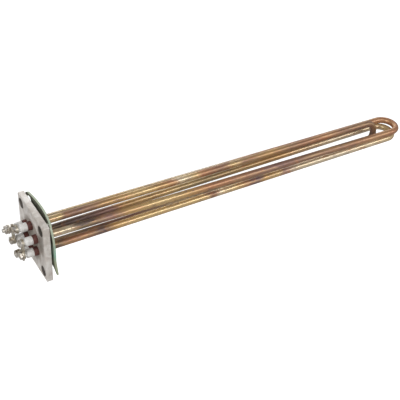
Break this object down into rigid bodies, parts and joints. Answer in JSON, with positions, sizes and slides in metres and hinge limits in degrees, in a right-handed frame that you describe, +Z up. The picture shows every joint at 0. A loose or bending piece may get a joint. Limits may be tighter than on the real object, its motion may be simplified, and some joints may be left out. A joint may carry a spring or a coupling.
{
  "type": "booster heating element",
  "caption": "Immersion heating element: hairpin sheathed tubes through a square bolted flange, with ceramic-insulated stud terminals and a warped sheet gasket",
  "frame": {"origin": "centre of the flange's rear face, the face that seals against the tank, in the middle of its bolt holes", "axes": "+X along the hairpin tubes, out of the flange into the tank; +Z up through the top terminal; +Y completes the right-handed set"},
  "size_m": [0.4722, 0.0641, 0.0637],
  "materials": {
    "flange_steel": "pale warm-grey machined steel, lightly ground, with a faint heat tint round the tubes",
    "gasket_rubber": "pale green-grey fibre and rubber sheet, darkened inside and along its edges",
    "braze": "dull yellow-grey brazing fillet",
    "sheath_alloy": "nickel alloy tube, annealed to brown, gold and violet oxide colours",
    "packed_powder": "pressed white magnesia powder",
    "coil_wire": "resistance wire",
    "stud_steel": "plated steel, slightly dulled",
    "end_seal": "dark red-brown moulded resin",
    "ceramic_bush": "white unglazed ceramic with grey handling marks",
    "strap_steel": "nickel-plated strip, yellowed",
    "washer_steel": "plated steel, bronze-grey",
    "nut_steel": "plated steel, bronze-grey"
  },
  "bodies": {
    "root": {"flange_plate": "flange_steel", "flange_gasket": "gasket_rubber", "braze_rings": "braze", "upper_sheath": "sheath_alloy", "upper_insulation": "packed_powder", "upper_coil": "coil_wire", "middle_sheath": "sheath_alloy", "middle_insulation": "packed_powder", "middle_coil": "coil_wire", "lower_sheath": "sheath_alloy", "lower_insulation": "packed_powder", "lower_coil": "coil_wire", "top_pin": "stud_steel", "top_seal": "end_seal", "top_insulator": "ceramic_bush", "far_upper_pin": "stud_steel", "far_upper_seal": "end_seal", "far_upper_insulator": "ceramic_bush", "far_lower_pin": "stud_steel", "far_lower_seal": "end_seal", "far_lower_insulator": "ceramic_bush", "bottom_pin": "stud_steel", "bottom_seal": "end_seal", "bottom_insulator": "ceramic_bush", "near_lower_pin": "stud_steel", "near_lower_seal": "end_seal", "near_lower_insulator": "ceramic_bush", "near_upper_pin": "stud_steel", "near_upper_seal": "end_seal", "near_upper_insulator": "ceramic_bush", "far_jumper": "strap_steel", "near_jumper": "strap_steel", "seat_washers": "washer_steel", "lock_washers": "washer_steel", "jumper_nuts": "nut_steel", "clamp_washers": "washer_steel", "supply_nut": "nut_steel"}
  },
  "joints": []
}
